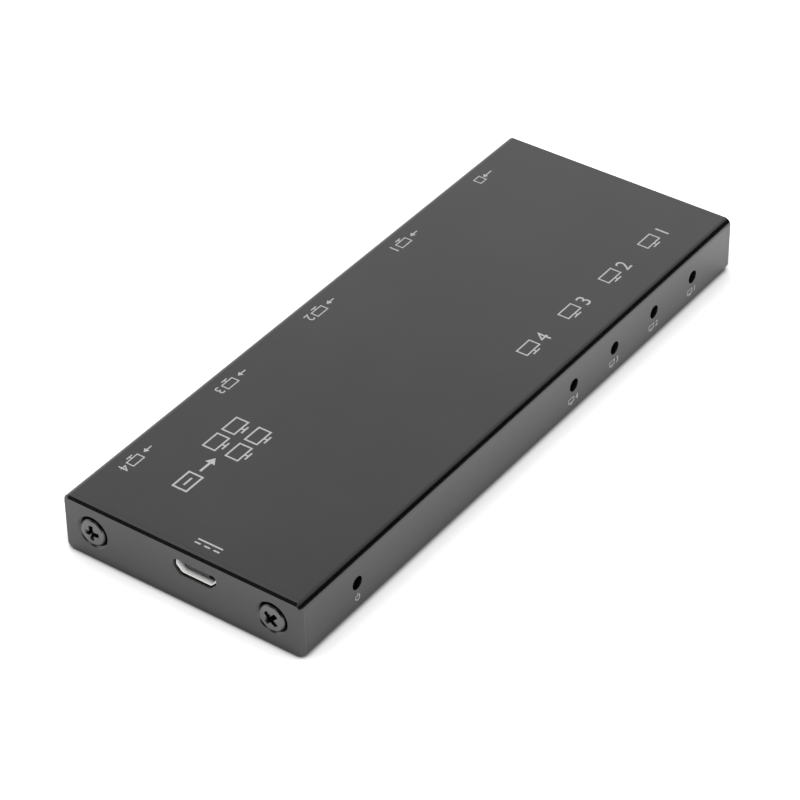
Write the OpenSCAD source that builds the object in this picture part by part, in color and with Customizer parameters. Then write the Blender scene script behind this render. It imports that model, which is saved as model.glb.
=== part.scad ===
// Slim four-way video splitter: a folded cover on a base tray, held by four end screws,
// with five video sockets, a power socket and five lamps on one circuit board.
// The power end faces -X, the lamps face -Y, the video sockets face +Y and +Z is up.
// The origin is the middle of the underside. All sizes are in millimetres.

/* [Case] */
// Length over both end walls
case_l = 120; // [106:0.5:160]
// Width over the cover
case_w = 45; // [40:0.5:70]
// Height over the cover
case_h = 10.2; // [9:0.1:14]
// Sheet thickness of the cover
cover_t = 1; // [0.8:0.1:1.2]
// Sheet thickness of the base tray
base_t = 1.2; // [1:0.1:1.5]
// Outer radius of the long edges
edge_r = 1.2; // [0.8:0.1:1.8]
// Bevel around the outer face of an end wall
end_bevel = 0.4; // [0.2:0.05:0.6]
// Gap in the seams between the cover and the base tray
seam_gap = 0.02; // [0.02:0.01:0.2]
// Free gap above and below a cover tab
tab_gap = 0.4; // [0.3:0.1:0.8]
// How far a cover tab reaches past its screw
tab_margin = 3.6; // [3.2:0.1:4.5]

/* [End screws] */
// Distance of an end screw from the long side
end_screw_inset = 5.6; // [5:0.1:6]
// How far the end screws lie above the case's middle height
end_screw_rise = 0.2; // [0:0.05:0.4]
// Thread diameter
end_screw_d = 3; // [2.5:0.1:3]
// Length over the head
end_screw_l = 4; // [3.6:0.1:4.4]
// Head diameter
end_screw_head_d = 4.8; // [4.6:0.1:5.4]
// Height of the straight edge above the head's cone
end_screw_edge = 0.55; // [0.3:0.05:0.6]
// Height of the dome above that edge
end_screw_dome = 0.3; // [0.2:0.05:0.5]
// Diameter of the countersink at the wall's outer face
countersink_d = 5.8; // [5.4:0.1:6]
// Running clearance around a screw, on the radius
running_gap = 0.05; // [0.03:0.01:0.08]
// Clearance of a screw's plain hole, on the radius
hole_gap = 0.1; // [0.1:0.05:0.3]
// Width of the cross recess across its arms
recess_d = 2.8; // [2.4:0.1:3]
// Width of one arm of the cross recess
recess_arm = 0.8; // [0.5:0.1:0.9]
// Depth of the cross recess
recess_depth = 1.4; // [0.8:0.1:1.6]
// Outer diameter of a clinch nut
nut_d = 5.6; // [5:0.1:6]
// Length of a clinch nut behind its tab
nut_l = 2; // [1.5:0.1:2.2]
// Diameter of the nut's spigot in the tab
nut_spigot_d = 4.2; // [3.8:0.1:4.6]
// Length of the nut's spigot in the tab
nut_spigot_l = 0.8; // [0.5:0.1:0.8]

/* [Video sockets] */
// Distance of the outer sockets from the ends of the case
port_inset = 13.2; // [13.1:0.1:14]
// How far the sockets lie above the case's middle height
port_rise = 0.275; // [0:0.025:0.4]
// Inside width of a socket's mouth
port_w = 14; // [13.8:0.1:14.2]
// Inside height of a socket's mouth
port_h = 4.55; // [4.4:0.05:4.7]
// Width of the slant at a lower corner
port_slant_w = 1.7; // [1.2:0.1:2.2]
// Height of the slant at a lower corner
port_slant_h = 1.9; // [1.4:0.1:2.4]
// Inside corner radius of a socket's shell
port_corner_r = 0.5; // [0.3:0.1:0.8]
// Sheet thickness of a socket's shell
port_shell_t = 0.3; // [0.2:0.05:0.4]
// Depth of a socket's shell
port_depth = 11; // [9:0.5:12]
// How far a shell's underside lies below the board's top
port_sink = 2.6; // [2.2:0.1:3]
// Gap between a shell's mouth and the cover's wall
port_back = 0.2; // [0.1:0.1:0.5]
// Clearance of the wall's cut-out around a shell
port_clear = 0.3; // [0.2:0.1:0.6]
// Width of the tongue
port_tongue_w = 11; // [10.6:0.1:12]
// Thickness of the tongue
port_tongue_t = 1.1; // [0.9:0.1:1.4]
// How far the tongue's tip lies behind the mouth
port_tongue_back = 1.6; // [1:0.1:2.5]
// Height of the tongue's middle above the shell's middle
port_tongue_rise = 0.35; // [0.1:0.05:0.5]
// Length of the insulator's block at the back of the shell
port_block_l = 3; // [2:0.5:4]
// Width of a solder wing beside the shell
port_wing_w = 0.9; // [0.6:0.1:0.95]
// Length of a solder wing
port_wing_l = 2; // [1.2:0.1:2.5]

/* [Power socket] */
// Inside width of the power socket's mouth
usb_w = 7.1; // [6.8:0.05:7.2]
// Inside height of the power socket's mouth
usb_h = 1.75; // [1.7:0.05:2]
// Slant at a lower corner of the mouth
usb_slant = 0.95; // [0.6:0.05:1.2]
// Inside corner radius of the shell
usb_corner_r = 0.3; // [0.2:0.05:0.4]
// Sheet thickness of the shell
usb_shell_t = 0.25; // [0.2:0.05:0.35]
// Depth of the shell
usb_depth = 5.2; // [4.5:0.1:6]
// Place of the socket across the end wall
usb_offset = -2.7; // [-8:0.1:8]
// Height of the shell's underside above the board
usb_lift = 0.1; // [0.05:0.05:0.6]
// How far the mouth lies behind the wall's outer face
usb_recess = 0.4; // [0.2:0.1:0.8]
// Clearance of the wall's cut-out around the shell
usb_clear = 0.2; // [0.15:0.05:0.4]
// Width of the tongue
usb_tongue_w = 4.2; // [3.4:0.1:4.4]
// Thickness of the tongue
usb_tongue_t = 0.6; // [0.5:0.05:0.7]
// How far the tongue's tip lies behind the mouth
usb_tongue_back = 0.4; // [0.3:0.1:1.5]
// Height of the tongue's middle above the shell's middle
usb_tongue_rise = 0.2; // [0.1:0.05:0.5]
// Length of the insulator's block at the back of the shell
usb_block_l = 1.6; // [1:0.1:2]

/* [Contacts] */
// Thickness of every contact strip
contact_t = 0.15; // [0.1:0.05:0.2]
// Width of a video contact
port_contact_w = 0.3; // [0.2:0.05:0.35]
// Distance between neighbouring video contacts of one row
port_contact_pitch = 1; // [0.9:0.05:1.05]
// Width of a power contact
usb_contact_w = 0.35; // [0.25:0.05:0.45]
// Distance between neighbouring power contacts
usb_contact_pitch = 0.65; // [0.6:0.05:0.75]
// How far a contact's tip lies behind its tongue's tip
contact_back = 0.5; // [0.3:0.1:1]
// How far a contact's tail reaches over the board
tail_l = 1.4; // [1:0.1:2]

/* [Lamps] */
// Diameter of a lamp hole in the cover
lamp_hole_d = 2.3; // [1.6:0.1:2.6]
// Distance from one output lamp to the next
lamp_pitch = 12; // [9:0.5:12]
// Distance of the last output lamp from the far end
lamp_inset = 12.3; // [10:0.1:14]
// Distance of the power lamp from the power end
power_lamp_inset = 13.4; // [10:0.1:16]
// Width of a lamp's body
lamp_w = 1.6; // [1.2:0.1:2.4]
// Depth of a lamp's body
lamp_depth = 0.9; // [0.6:0.1:1.4]
// Height of a lamp's body
lamp_h = 0.6; // [0.5:0.1:1]
// How far a lamp's underside lies below the board's top
lamp_sink = 0.4; // [0.2:0.1:0.6]

/* [Board] */
// Thickness of the circuit board
board_t = 1.2; // [1:0.1:1.3]
// Clearance around the board and in its cut-outs
board_clear = 0.4; // [0.3:0.05:0.5]
// Thickness of the insulating film
film_t = 0.2; // [0.1:0.05:0.3]
// Margin of the film inside the case
film_margin = 2; // [1:0.5:4]
// Outer diameter of a standoff
standoff_d = 4; // [3.6:0.1:5]
// Thread diameter of a board screw
board_screw_d = 2; // [1.6:0.1:2.5]
// Head diameter of a board screw
board_screw_head_d = 3.8; // [3.4:0.1:4]
// Head height of a board screw
board_screw_head_h = 1.3; // [1:0.1:1.8]
// Depth of the cross recess in a board screw
board_recess_depth = 0.9; // [0.6:0.1:0.9]
// Distance of a board screw from the long side
board_screw_inset = 7.5; // [7:0.5:9]

/* [Chips] */
// Width of the splitter chip
splitter_w = 14; // [10:0.5:15]
// Height of the splitter chip
splitter_h = 1.2; // [0.8:0.1:1.4]
// Place of the splitter chip across the case
splitter_y = -7.5; // [-8:0.5:-7]
// Thickness of the thermal pad
pad_t = 0.3; // [0.2:0.1:0.5]
// Gap between the heat sink and the cover
heat_sink_gap = 0.5; // [0.3:0.1:1]
// Thickness of the heat sink's floor
heat_sink_floor = 0.6; // [0.4:0.1:0.8]
// Thickness of one fin
fin_t = 0.7; // [0.4:0.1:1]
// Distance from one fin to the next
fin_pitch = 1.9; // [1.4:0.1:3]
// Distance of the controller chip from the power end
controller_inset = 37; // [35:0.5:40]
// Place of the controller chip across the case
controller_y = -4; // [-6:0.5:-3]
// Width of the controller chip
controller_w = 7; // [5:0.5:7]
// Height of the controller chip
controller_h = 1; // [0.8:0.1:1.4]
// Length of the memory chip
memory_l = 5; // [4:0.5:6]
// Width of the memory chip
memory_w = 4; // [3:0.5:4]
// Height of the memory chip
memory_h = 1.6; // [1:0.1:1.8]
// Length of the clock crystal
crystal_l = 3.2; // [2.5:0.1:3.5]
// Width of the clock crystal
crystal_w = 2.5; // [2:0.1:3]
// Height of the clock crystal
crystal_h = 0.8; // [0.6:0.1:1.2]
// Distance between the two rows of power parts
power_row_pitch = 8; // [6:0.5:8]
// Distance of the voltage regulators from the power end
regulator_inset = 22; // [20:0.5:26]
// Width of a voltage regulator
regulator_w = 3; // [2:0.1:3.2]
// Height of a voltage regulator
regulator_h = 1; // [0.8:0.1:1.4]
// Distance of the power inductors from the power end
inductor_inset = 14; // [13:0.5:16]
// Width of a power inductor
inductor_w = 4.4; // [3:0.1:4.6]
// Height of a power inductor
inductor_h = 2.2; // [1.5:0.1:2.8]
// Diameter of an inductor's round top
inductor_top_d = 3.6; // [2:0.1:4]
// Distance of the fuse from the power end
fuse_inset = 9; // [8:0.5:11]
// Length of the fuse
fuse_l = 3.2; // [2:0.1:4]
// Width of the fuse
fuse_w = 1.6; // [1:0.1:2.2]
// Height of the fuse
fuse_h = 0.7; // [0.5:0.1:1]
// Length of a surge guard
guard_l = 2.5; // [2:0.1:3]
// Width of a surge guard
guard_w = 1; // [0.8:0.1:1.2]
// Height of a surge guard
guard_h = 0.6; // [0.4:0.1:0.8]
// Length of a capacitor
cap_l = 1; // [0.8:0.1:1.2]
// Width of a capacitor
cap_w = 0.5; // [0.4:0.05:0.7]
// Height of a capacitor
cap_h = 0.5; // [0.4:0.05:0.8]
// Length of a resistor
res_l = 1; // [0.8:0.1:1.2]
// Width of a resistor
res_w = 0.5; // [0.4:0.05:0.7]
// Height of a resistor
res_h = 0.35; // [0.25:0.05:0.5]

/* [Hidden] */
// Overreach of a cut past the faces that it opens
cut = 0.2;
// Slip fit between an insulator's block and its shell, and around contacts
slip = 0.03;
// Roundness of curves
$fn = 48;
// Steps around a corner of a socket's outline
corner_steps = 5;

// The sockets along the case, from the power end
port_names = ["output_4", "output_3", "output_2", "output_1", "input"];
ports = [for (i = [0 : len(port_names) - 1]) i];
port_pitch = (case_l - 2 * port_inset) / (len(port_names) - 1);
function port_x(i) = (i - (len(port_names) - 1) / 2) * port_pitch;

// The lamps along the case, from the power end
lamp_names = ["power_lamp", "output_4_lamp", "output_3_lamp", "output_2_lamp", "output_1_lamp"];
lamps = [for (i = [0 : len(lamp_names) - 1]) i];
last_lamp = len(lamp_names) - 1;
function lamp_x(i) = i == 0 ? power_lamp_inset - case_l / 2
                            : case_l / 2 - lamp_inset - (last_lamp - i) * lamp_pitch;

// The end screws: end along X, side along Y, turn of the cross recess
end_screw_names = ["power_end_screw_port_side", "power_end_screw_lamp_side",
                   "far_end_screw_port_side", "far_end_screw_lamp_side"];
end_screw_sides = [[-1, 1], [-1, -1], [1, 1], [1, -1]];
end_screw_turns = [4, 46, 25, 70];
end_screws = [for (i = [0 : len(end_screw_names) - 1]) i];

// Inside of the case
inner_x = case_l / 2 - base_t;
inner_y = case_w / 2 - cover_t;
inner_top = case_h - cover_t;
cover_end = inner_x - seam_gap;

// Levels of the video sockets and the board
port_z = case_h / 2 + port_rise;
board_top = port_z - port_h / 2 - port_shell_t + port_sink;
board_bottom = board_top - board_t;
board_gap = board_bottom - base_t;

// End screws, their nuts and the tabs that carry them
screw_y = case_w / 2 - end_screw_inset;
screw_z = case_h / 2 + end_screw_rise;
screw_sunk = (countersink_d - end_screw_head_d) / 2;
shank_r = end_screw_d / 2 - running_gap;
head_r = end_screw_head_d / 2 - running_gap;
head_k = head_r - shank_r;
head_top = end_screw_edge + end_screw_dome;
dome_r = (head_r * head_r + end_screw_dome * end_screw_dome) / (2 * end_screw_dome);
tab_in_x = cover_end - cover_t;
tab_in_y = screw_y - tab_margin;
tab_bottom = base_t + tab_gap;
tab_top = inner_top - tab_gap;
screw_tip_x = case_l / 2 - screw_sunk - end_screw_l;
nut_in_x = tab_in_x - nut_l;
notch_x = min(nut_in_x, screw_tip_x) - board_clear;
notch_y = tab_in_y - board_clear;

// Video sockets
port_mouth_y = inner_y - port_back;
port_out_w = port_w + 2 * port_shell_t;
port_board = board_top - port_z;
port_rear_y = port_mouth_y - port_depth;
port_upper = port_tongue_rise + port_tongue_t / 2;
port_lower = port_tongue_rise - port_tongue_t / 2 - contact_t;
port_upper_count = 10;
port_lower_count = 9;

// Power socket
usb_bottom = usb_h / 2 + usb_shell_t;
usb_z = board_top + usb_lift + usb_bottom;
usb_board = board_top - usb_z;
usb_mouth_x = usb_recess - case_l / 2;
usb_strip = usb_tongue_rise - usb_tongue_t / 2 - contact_t;
usb_contact_count = 5;

// Board and its fasteners, which stand between the outer pairs of sockets
board_x = inner_x - board_clear;
board_y = inner_y - board_clear;
board_screw_x = 1.5 * port_pitch;
board_screw_y = case_w / 2 - board_screw_inset;
board_screw_r = board_screw_d / 2 - running_gap;

// Lamps, each with a solder pad at its sides
lamp_z = board_top - lamp_sink + lamp_h / 2;
lamp_pad_w = 0.5;

// Rows of small parts behind the sockets
tail_end_y = port_rear_y - tail_l;
row_gap = 0.8;
guard_y = tail_end_y - row_gap - guard_w / 2;
res_y = guard_y - guard_w / 2 - row_gap - res_w / 2;
heat_sink_z = board_top + splitter_h + pad_t;
heat_sink_h = inner_top - heat_sink_gap - heat_sink_z;

// Places of the other parts on the board, from the power end
power_end = -case_l / 2;
power_rows = [-power_row_pitch, 0];
fuse_at = [power_end + fuse_inset, -1.5 * power_row_pitch];
inductors_at = [for (y = power_rows) [power_end + inductor_inset, y]];
regulators_at = [for (y = power_rows) [power_end + regulator_inset, y]];
controller_at = [power_end + controller_inset, controller_y];
memory_at = [controller_at.x, controller_at.y - controller_w / 2 - row_gap - memory_w / 2];
crystal_at = [controller_at.x, controller_at.y + controller_w / 2 + row_gap + crystal_w / 2];

// Rectangle with round corners, centred
module round_rect(w, h, r) {
    square([w - 2 * r, h], center = true);
    square([w, h - 2 * r], center = true);
    for (x = [-1, 1], y = [-1, 1])
        translate([x * (w / 2 - r), y * (h / 2 - r)]) circle(r);
}

// Corners of a socket's mouth, wide side up with slants below, anticlockwise and grown by g
function mouth_points(w, h, sw, sh, g) =
    let (slant = norm([sw, sh]),
         bottom_x = w / 2 - sw + g * (slant - sw) / sh,
         side_y = -h / 2 + sh - g * (slant - sh) / sw)
    [[-bottom_x, -h / 2 - g], [bottom_x, -h / 2 - g], [w / 2 + g, side_y],
     [w / 2 + g, h / 2 + g], [-w / 2 - g, h / 2 + g], [-w / 2 - g, side_y]];

// Direction that the edge from p to q faces, on an anticlockwise outline
function facing(p, q) = atan2(p.x - q.x, q.y - p.y);

// Convex outline grown by r with round corners; its corners run anticlockwise
function round_points(corners, r) =
    let (n = len(corners))
    [for (i = [0 : n - 1])
        let (p = corners[i],
             from = facing(corners[(i + n - 1) % n], p),
             turn = (facing(p, corners[(i + 1) % n]) - from + 720) % 360)
        for (k = [0 : corner_steps])
            let (a = from + turn * k / corner_steps)
            p + r * [cos(a), sin(a)]];

// Outline of a video socket, g outside the mouth
module port_outline(g) {
    polygon(round_points(mouth_points(port_w, port_h, port_slant_w, port_slant_h, -port_corner_r),
                         port_corner_r + g));
}

// Outline of the power socket, g outside the mouth
module usb_outline(g) {
    polygon(round_points(mouth_points(usb_w, usb_h, usb_slant, usb_slant, -usb_corner_r),
                         usb_corner_r + g));
}

// Sets a drawing upright across the case: x to +Y, y to +Z and depth to +X
module facing_x() {
    rotate([90, 0, 90]) children();
}

// Frame of a video socket: x along the case, y up and depth into the case from the mouth
module at_port(i) {
    translate([port_x(i), port_mouth_y, port_z]) rotate([90, 0, 0]) children();
}

// Frame of the power socket: x across the case, y up and depth into the case from the mouth
module at_usb() {
    translate([usb_mouth_x, usb_offset, usb_z]) facing_x() children();
}

// Frame of an end screw: its axis along z, with the outer face of the wall at z = 0
module at_end_screw(i) {
    side = end_screw_sides[i];
    translate([side.x * case_l / 2, side.y * screw_y, screw_z])
        rotate([0, side.x * 90, 0])
            children();
}

// Block on the board, centred on its place
module on_board(place, size) {
    translate([place.x - size.x / 2, place.y - size.y / 2, board_top]) cube(size);
}

// Folded top with two long walls, and a tab for a nut at each corner
module cover() {
    color("dimgray") difference() {
        union() {
            translate([-cover_end, 0, 0]) facing_x() linear_extrude(2 * cover_end)
                difference() {
                    translate([0, case_h / 2]) round_rect(case_w, case_h, edge_r);
                    translate([-inner_y, -cut]) square([2 * inner_y, inner_top + cut]);
                }
            for (i = end_screws) cover_tab(i);
        }
        for (i = end_screws)
            at_end_screw(i)
                translate([0, 0, tab_in_x - case_l / 2 - cut])
                    cylinder(h = cover_t + 2 * cut, d = nut_spigot_d);
        for (i = ports)
            at_port(i)
                translate([0, 0, -port_back - cover_t - cut])
                    linear_extrude(cover_t + 2 * cut)
                        port_outline(port_shell_t + port_clear);
        for (i = lamps)
            translate([lamp_x(i), -case_w / 2 - cut, lamp_z])
                rotate([-90, 0, 0])
                    cylinder(h = cover_t + 2 * cut, d = lamp_hole_d);
    }
}

// One tab, folded in from the end of a long wall
module cover_tab(i) {
    side = end_screw_sides[i];
    translate([side.x > 0 ? tab_in_x : -cover_end,
               side.y > 0 ? tab_in_y : -inner_y - cover_t / 2,
               tab_bottom])
        cube([cover_t, inner_y + cover_t / 2 - tab_in_y, tab_top - tab_bottom]);
}

// Rectangle of half sizes l and w, with its corners cut off by c
module bevelled_rect(l, w, c) {
    polygon([[-l, c - w], [c - l, -w], [l - c, -w], [l, c - w],
             [l, w - c], [l - c, w], [c - l, w], [-l, w - c]]);
}

// Bar with the case's full outline, bevelled around both end faces
module case_bar() {
    l = case_l / 2;
    rod_y = case_w / 2 - edge_r;
    rod_z = case_h / 2 - edge_r;
    translate([0, 0, case_h / 2]) {
        for (y = [-1, 1], z = [-1, 1])
            translate([0, y * rod_y, z * rod_z])
                rotate([0, 90, 0])
                    rotate_extrude()
                        polygon([[0, -l], [edge_r - end_bevel, -l], [edge_r, end_bevel - l],
                                 [edge_r, l - end_bevel], [edge_r - end_bevel, l], [0, l]]);
        translate([0, 0, -rod_z])
            linear_extrude(2 * rod_z) bevelled_rect(l, case_w / 2, end_bevel);
        rotate([90, 0, 0])
            translate([0, 0, -rod_y])
                linear_extrude(2 * rod_y) bevelled_rect(l, case_h / 2, end_bevel);
    }
}

// Bottom sheet with an upright wall at each end: the bar without the room of the cover
module base_tray() {
    sheet_y = inner_y - seam_gap;
    color("dimgray") difference() {
        case_bar();
        translate([-inner_x, -case_w, base_t])
            cube([2 * inner_x, 2 * case_w, case_h]);
        for (side = [-1, 1])
            translate([-inner_x, side > 0 ? sheet_y : -sheet_y - case_w, -cut])
                cube([2 * inner_x, case_w, base_t + 2 * cut]);
        for (i = end_screws)
            at_end_screw(i) {
                translate([0, 0, -base_t - cut])
                    cylinder(h = base_t + 2 * cut, r = end_screw_d / 2 + hole_gap);
                translate([0, 0, -countersink_d / 2])
                    cylinder(h = countersink_d / 2 + cut, r1 = 0, r2 = countersink_d / 2 + cut);
            }
        translate([-case_l / 2 - cut, usb_offset, usb_z])
            facing_x()
                linear_extrude(base_t + 2 * cut)
                    usb_outline(usb_shell_t + usb_clear);
    }
}

// Four threaded bushes behind the tabs, each with a spigot in its tab
module clinch_nuts() {
    color("silver")
        for (i = end_screws)
            at_end_screw(i)
                translate([0, 0, nut_in_x - case_l / 2])
                    difference() {
                        union() {
                            cylinder(h = nut_l, d = nut_d);
                            cylinder(h = nut_l + nut_spigot_l, r = nut_spigot_d / 2 - running_gap);
                        }
                        translate([0, 0, -cut])
                            cylinder(h = nut_l + cover_t + 2 * cut, d = end_screw_d);
                    }
}

// Raised countersunk screw with a cross recess
module end_screw(i) {
    color("gray")
        at_end_screw(i)
            translate([0, 0, -screw_sunk])
                difference() {
                    union() {
                        translate([0, 0, -end_screw_l]) cylinder(h = end_screw_l, r = shank_r);
                        translate([0, 0, -head_k]) cylinder(h = head_k, r1 = shank_r, r2 = head_r);
                        cylinder(h = end_screw_edge, r = head_r);
                        translate([0, 0, end_screw_edge]) intersection() {
                            translate([0, 0, end_screw_dome - dome_r]) sphere(dome_r);
                            cylinder(h = end_screw_dome + cut, r = head_r + cut);
                        }
                    }
                    translate([0, 0, head_top - recess_depth])
                        rotate(end_screw_turns[i])
                            intersection() {
                                for (turn = [0, 90])
                                    rotate(turn)
                                        translate([-recess_d, -recess_arm / 2, 0])
                                            cube([2 * recess_d, recess_arm, recess_depth + cut]);
                                cylinder(h = recess_depth + cut, d1 = recess_d / 2, d2 = recess_d);
                            }
                }
}

// Places of the four board screws
module at_board_screws() {
    for (x = [-1, 1], y = [-1, 1])
        translate([x * board_screw_x, y * board_screw_y, 0]) children();
}

// Thin sheet on the base, pierced for the standoffs
module insulating_film() {
    color("black") difference() {
        translate([film_margin - inner_x, film_margin - inner_y, base_t])
            cube([2 * (inner_x - film_margin), 2 * (inner_y - film_margin), film_t]);
        at_board_screws()
            translate([0, 0, base_t - cut])
                cylinder(h = film_t + 2 * cut, d = standoff_d + 2 * board_clear);
    }
}

// Four threaded standoffs on the base
module board_standoffs() {
    color("silver")
        at_board_screws()
            translate([0, 0, base_t])
                difference() {
                    cylinder(h = board_gap, d = standoff_d);
                    translate([0, 0, film_t])
                        cylinder(h = board_gap, d = board_screw_d);
                }
}

// Four pan-head screws that hold the board on its standoffs
module board_screws() {
    color("silver")
        at_board_screws()
            translate([0, 0, board_top])
                difference() {
                    union() {
                        cylinder(h = board_screw_head_h, d = board_screw_head_d);
                        translate([0, 0, film_t + running_gap - board_gap - board_t])
                            cylinder(h = board_gap + board_t - film_t, r = board_screw_r);
                    }
                    for (turn = [0, 90])
                        rotate(turn)
                            translate([-recess_d / 2, -recess_arm / 2,
                                       board_screw_head_h - board_recess_depth])
                                cube([recess_d, recess_arm, board_recess_depth + cut]);
                }
}

// Board with cut-outs for the sockets, and notches for the cover's tabs and the lamps
module main_board() {
    color("darkgreen") difference() {
        translate([-board_x, -board_y, board_bottom])
            cube([2 * board_x, 2 * board_y, board_t]);
        for (side = end_screw_sides)
            translate([side.x > 0 ? notch_x : -board_x - cut,
                       side.y > 0 ? notch_y : -board_y - cut,
                       board_bottom - cut])
                cube([board_x - notch_x + cut, board_y - notch_y + cut, board_t + 2 * cut]);
        for (i = ports)
            translate([port_x(i) - port_out_w / 2 - board_clear / 2,
                       port_rear_y - board_clear,
                       board_bottom - cut])
                cube([port_out_w + board_clear, board_y - port_rear_y + board_clear + cut,
                      board_t + 2 * cut]);
        for (i = lamps)
            translate([lamp_x(i) - lamp_w / 2 - slip, -board_y - cut, board_bottom - cut])
                cube([lamp_w + 2 * slip, lamp_depth + slip + cut, board_t + 2 * cut]);
        at_board_screws()
            translate([0, 0, board_bottom - cut])
                cylinder(h = board_t + 2 * cut, r = board_screw_d / 2 + hole_gap);
    }
}

// Steel shell of a video socket, with two solder wings on each side
module port_shell(i) {
    color("silver") {
        at_port(i) {
            linear_extrude(port_depth) difference() {
                port_outline(port_shell_t);
                port_outline(0);
            }
            for (side = [-1, 1], back = [port_wing_l, port_depth - 2 * port_wing_l])
                translate([side > 0 ? port_w / 2 + port_shell_t / 2 : -port_out_w / 2 - port_wing_w,
                           port_board, back])
                    cube([port_wing_w + port_shell_t / 2, port_shell_t, port_wing_l]);
        }
    }
}

// Places of a video socket's contacts: x along the socket and y of the strip's underside
port_contacts = concat(
    [for (k = [0 : port_upper_count - 1])
        [(k - (port_upper_count - 1) / 2) * port_contact_pitch, port_upper]],
    [for (k = [0 : port_lower_count - 1])
        [(k - (port_lower_count - 1) / 2) * port_contact_pitch, port_lower]]);

// Moulded block at the back of a video socket, with its tongue, grooved for the contacts
module port_insulator(i) {
    color("black") at_port(i) difference() {
        union() {
            translate([0, 0, port_depth - port_block_l])
                linear_extrude(port_block_l) port_outline(-slip);
            translate([-port_tongue_w / 2, port_tongue_rise - port_tongue_t / 2, port_tongue_back])
                cube([port_tongue_w, port_tongue_t, port_depth - port_tongue_back - port_block_l / 2]);
        }
        for (c = port_contacts)
            translate([c.x - port_contact_w / 2 - slip, c.y, port_depth - port_block_l - cut])
                cube([port_contact_w + 2 * slip, contact_t, port_block_l + 2 * cut]);
    }
}

// Strip along a tongue, through its block and down or up to a solder tail on the board
module contact(x, w, strip, board, front, depth) {
    translate([x - w / 2, strip, front]) cube([w, contact_t, depth + 2 * contact_t - front]);
    translate([x - w / 2, min(strip, board), depth + contact_t])
        cube([w, abs(strip - board) + contact_t, contact_t]);
    translate([x - w / 2, board, depth + contact_t]) cube([w, contact_t, tail_l - contact_t]);
}

// The contacts of a video socket, in two rows
module port_contact_rows(i) {
    color("gold") at_port(i)
        for (c = port_contacts)
            contact(c.x, port_contact_w, c.y, port_board, port_tongue_back + contact_back, port_depth);
}

// Steel shell of the power socket, on two feet
module power_socket_shell() {
    foot_w = usb_w / 2;
    foot_l = usb_depth / 5;
    color("silver") at_usb() {
        linear_extrude(usb_depth) difference() {
            usb_outline(usb_shell_t);
            usb_outline(0);
        }
        for (back = [1.5 * foot_l, usb_depth - 1.5 * foot_l])
            translate([-foot_w / 2, usb_board, back])
                cube([foot_w, usb_lift + usb_shell_t / 2, foot_l]);
    }
}

// Places of the power socket's contacts across its tongue
usb_contacts = [for (k = [0 : usb_contact_count - 1])
    (k - (usb_contact_count - 1) / 2) * usb_contact_pitch];

// Moulded block at the back of the power socket, with its tongue
module power_socket_insulator() {
    color("ivory") at_usb() difference() {
        union() {
            translate([0, 0, usb_depth - usb_block_l])
                linear_extrude(usb_block_l) usb_outline(-slip);
            translate([-usb_tongue_w / 2, usb_tongue_rise - usb_tongue_t / 2, usb_tongue_back])
                cube([usb_tongue_w, usb_tongue_t, usb_depth - usb_tongue_back - usb_block_l / 2]);
        }
        for (x = usb_contacts)
            translate([x - usb_contact_w / 2 - slip, usb_strip, usb_depth - usb_block_l - cut])
                cube([usb_contact_w + 2 * slip, contact_t, usb_block_l + 2 * cut]);
    }
}

// Contacts under the power socket's tongue
module power_socket_contacts() {
    color("gold") at_usb()
        for (x = usb_contacts)
            contact(x, usb_contact_w, usb_strip, usb_board, usb_tongue_back + contact_back, usb_depth);
}

// Side-looking lamp in its notch, with a solder pad on each side
module lamp(i) {
    color("white") translate([lamp_x(i), -board_y, board_top]) {
        translate([-lamp_w / 2, 0, -lamp_sink]) cube([lamp_w, lamp_depth, lamp_h]);
        translate([-lamp_w / 2 - lamp_pad_w, lamp_depth / 4, 0])
            cube([lamp_w + 2 * lamp_pad_w, lamp_depth / 2, lamp_h - lamp_sink]);
    }
}

// Main chip, with a dimple that marks its first pin
module splitter_chip() {
    dimple = splitter_w / 10;
    color("black") difference() {
        on_board([0, splitter_y], [splitter_w, splitter_w, splitter_h]);
        translate([dimple - splitter_w / 2, splitter_y + dimple - splitter_w / 2,
                   board_top + splitter_h - contact_t])
            cylinder(h = contact_t + cut, d = dimple);
    }
}

// Soft pad between the chip and its heat sink
module thermal_pad() {
    color("lightgray")
        translate([-splitter_w / 2, splitter_y - splitter_w / 2, board_top + splitter_h])
            cube([splitter_w, splitter_w, pad_t]);
}

// Finned block on the chip
module heat_sink() {
    fins = floor((splitter_w - fin_t) / fin_pitch);
    first = -fins * fin_pitch / 2;
    color("silver") translate([0, splitter_y, heat_sink_z]) {
        translate([-splitter_w / 2, -splitter_w / 2, 0])
            cube([splitter_w, splitter_w, heat_sink_floor]);
        for (k = [0 : fins])
            translate([first + k * fin_pitch - fin_t / 2, -splitter_w / 2, heat_sink_floor / 2])
                cube([fin_t, splitter_w, heat_sink_h - heat_sink_floor / 2]);
    }
}

// Small chip that runs the splitter
module controller_chip() {
    color("black") on_board(controller_at, [controller_w, controller_w, controller_h]);
}

// Chip that holds the program
module memory_chip() {
    color("black") on_board(memory_at, [memory_l, memory_w, memory_h]);
}

// Clock crystal in its can
module clock_crystal() {
    color("silver") on_board(crystal_at, [crystal_l, crystal_w, crystal_h]);
}

// Voltage regulators beside the power inductors
module voltage_regulators() {
    color("black")
        for (place = regulators_at)
            on_board(place, [regulator_w, regulator_w, regulator_h]);
}

// Moulded inductors, square below with a round top
module power_inductors() {
    color("gray")
        for (place = inductors_at) {
            on_board(place, [inductor_w, inductor_w, inductor_h / 2]);
            translate([place.x, place.y, board_top])
                cylinder(h = inductor_h, d = inductor_top_d);
        }
}

// Fuse in the power line
module power_fuse() {
    color("darkslategray") on_board(fuse_at, [fuse_l, fuse_w, fuse_h]);
}

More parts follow.
